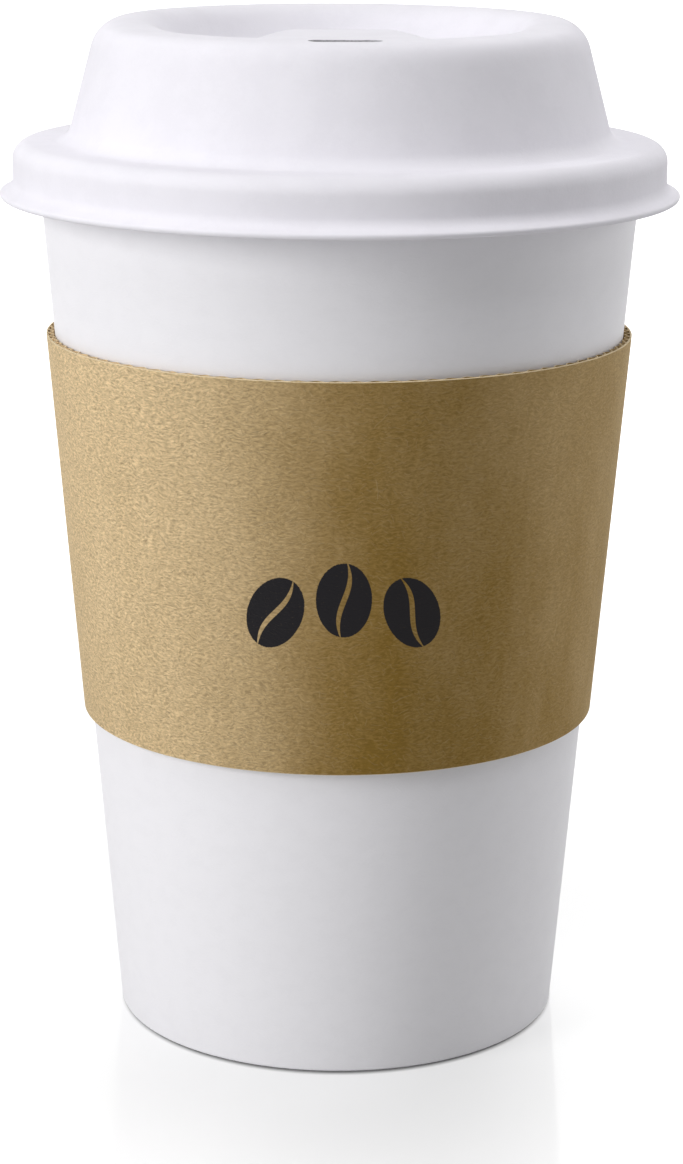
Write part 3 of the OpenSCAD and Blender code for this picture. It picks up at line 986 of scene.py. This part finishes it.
# The floor's size, and its shades to the camera, in a painted shadow line at the foot, and as a light
FLOOR_HALF = 3.0
FLOOR_SEEN = (0.5, 0.5, 0.5, 1)
FLOOR_PAINTED_SHADOW = (0.18, 0.18, 0.18, 1)
FLOOR_BOUNCE = (0.35, 0.35, 0.35, 1)
# Its glow beside the cup, how much weaker that is in front of the foot as painted shade, and the
# painted shadow line's width
FLOOR_GLOW, FOOT_PAINTED_SHADE, CONTACT_W = 0.5, 0.16, 1.2 * MM
# Distances from the front of the foot between which the glow grows, and the painted shade before the
# foot ends
GLOW_REACH, SHADE_REACH = (0.06, 0.4), (0.012, 0.055)


def floor():
    """A large pale floor: white to the camera but for the cup's shadow, partly painted at the foot,
    and grey as a light on it.
    """
    mesh = bpy.data.meshes.new("floor")
    corners = [(FLOOR_HALF * x, FLOOR_HALF * y, 0) for x, y in ((-1, -1), (1, -1), (1, 1), (-1, 1))]
    mesh.from_pydata(corners, [], [(0, 1, 2, 3)])
    made, tree, shader = new_material("floor")
    shader.inputs["Roughness"].default_value = 0.1
    shader.inputs["IOR"].default_value = 1.8
    shader.inputs["Specular IOR Level"].default_value = 1.0
    shader.inputs["Emission Color"].default_value = (1, 1, 1, 1)
    # Away from the cup the glow grows, since the lamps light that part less. In front of the foot it
    # is weaker, as painted shade, and on a thin line along the foot it fades out and the floor is
    # painted dark as a shadow.
    own = add(tree, "ShaderNodeTexCoord").outputs["Object"]
    before = add(tree, "ShaderNodeVectorMath", {0: own, 1: (0, -FOOT_R, 0)},
                 operation="DISTANCE").outputs["Value"]
    far = step_between(tree, before, *GLOW_REACH, FLOOR_GLOW, 1.0)
    near = step_between(tree, before, *SHADE_REACH, -FOOT_PAINTED_SHADE, 0.0)
    out = add(tree, "ShaderNodeVectorMath", {0: own, 1: (0, -CONTACT_W, 0)},
              operation="DISTANCE").outputs["Value"]
    contact = step_between(tree, out, FOOT_R - CONTACT_W, FOOT_R + 0.2 * MM, 0.0, 1.0)
    direct = direct_ray(tree)
    # The thin line along the foot is painted dark as a contact shadow
    seen = mixed(tree, contact, FLOOR_PAINTED_SHADOW, FLOOR_SEEN)
    tree.links.new(mixed(tree, direct, FLOOR_BOUNCE, seen), shader.inputs["Base Color"])
    strength = maths(tree, "MULTIPLY", maths(tree, "ADD", far, near), contact)
    strength = maths(tree, "MULTIPLY", strength, direct)
    tree.links.new(strength, shader.inputs["Emission Strength"])
    mesh.materials.append(made)
    plane = bpy.data.objects.new("floor", mesh)
    bpy.context.scene.collection.objects.link(plane)
    plane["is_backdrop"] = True


# The world's strength to the camera, and as a light on the cup
WORLD_SEEN, WORLD_FILL = 1.0, 0.2


def world():
    """White where the camera or a mirror sees it, and weaker as a light on everything else."""
    made = bpy.data.worlds.new("world")
    bpy.context.scene.world = made
    made.use_nodes = True
    tree = made.node_tree
    strength = maths(tree, "MULTIPLY_ADD", direct_ray(tree), WORLD_SEEN - WORLD_FILL, WORLD_FILL)
    background = tree.nodes["Background"]
    background.inputs["Color"].default_value = (1, 1, 1, 1)
    tree.links.new(strength, background.inputs["Strength"])


# Soft lamps: name, azimuth from the front, elevation, distance, width and height, and watts
LAMPS = (
    ("key", -60, 18, 1.1, (0.4, 0.7), 7.6),
    ("above", -35, 68, 1.1, (0.7, 0.7), 1.65),
    ("top", 30, 72, 1.0, (0.7, 0.7), 3.3),
    ("rim", 105, 8, 1.0, (0.4, 0.7), 3.1),
    ("back", 165, 45, 1.1, (0.8, 0.6), 2.4),
)


def area_light(name, azimuth, elevation, distance, size, power):
    """A soft lamp that faces the middle of the cup. Azimuth 0 is at the front, 90 at the right."""
    lamp = bpy.data.lights.new(name, "AREA")
    lamp.shape = "RECTANGLE"
    lamp.size, lamp.size_y = size
    lamp.energy = power
    made = bpy.data.objects.new(name, lamp)
    aim = Vector((0, 0, CUP_H / 2))
    back = Vector((sin(azimuth) * cos(elevation), -cos(azimuth) * cos(elevation), sin(elevation)))
    made.location = aim + back * distance
    made.rotation_mode = "QUATERNION"
    made.rotation_quaternion = back.to_track_quat("Z", "Y")
    bpy.context.scene.collection.objects.link(made)


# The camera: how far it stands from the cup's axis and how high, its turns and its lens
CAMERA_REACH, CAMERA_Z = 425.4 * MM, 172.6 * MM
CAMERA_AZ, CAMERA_PITCH, CAMERA_ROLL, CAMERA_YAW = -1.2, 14.44, 0.3, -0.07
LENS_MM = 92.9


def camera():
    """The photograph's view."""
    data = bpy.data.cameras.new("camera")
    data.lens = LENS_MM
    data.sensor_width = 36
    data.clip_start = 0.01
    made = bpy.data.objects.new("camera", data)
    turn = (Matrix.Rotation(math.radians(CAMERA_YAW + CAMERA_AZ), 4, "Z")
            @ Matrix.Rotation(math.radians(90 - CAMERA_PITCH), 4, "X")
            @ Matrix.Rotation(math.radians(CAMERA_ROLL), 4, "Z"))
    place = (CAMERA_REACH * sin(CAMERA_AZ), -CAMERA_REACH * cos(CAMERA_AZ), CAMERA_Z)
    made.matrix_world = Matrix.Translation(place) @ turn
    bpy.context.scene.collection.objects.link(made)
    bpy.context.scene.camera = made


camera()
cup_wall()
cup_base()
lid()
sleeve_liner()
sleeve_flutes()
floor()
world()
for lamp in LAMPS:
    area_light(*lamp)
bpy.context.scene.view_settings.view_transform = "Standard"

boxes = {"cad": cad_bounds, "visual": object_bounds()}
{key: [list(corner) for corner in box] for key, box in boxes.items()}
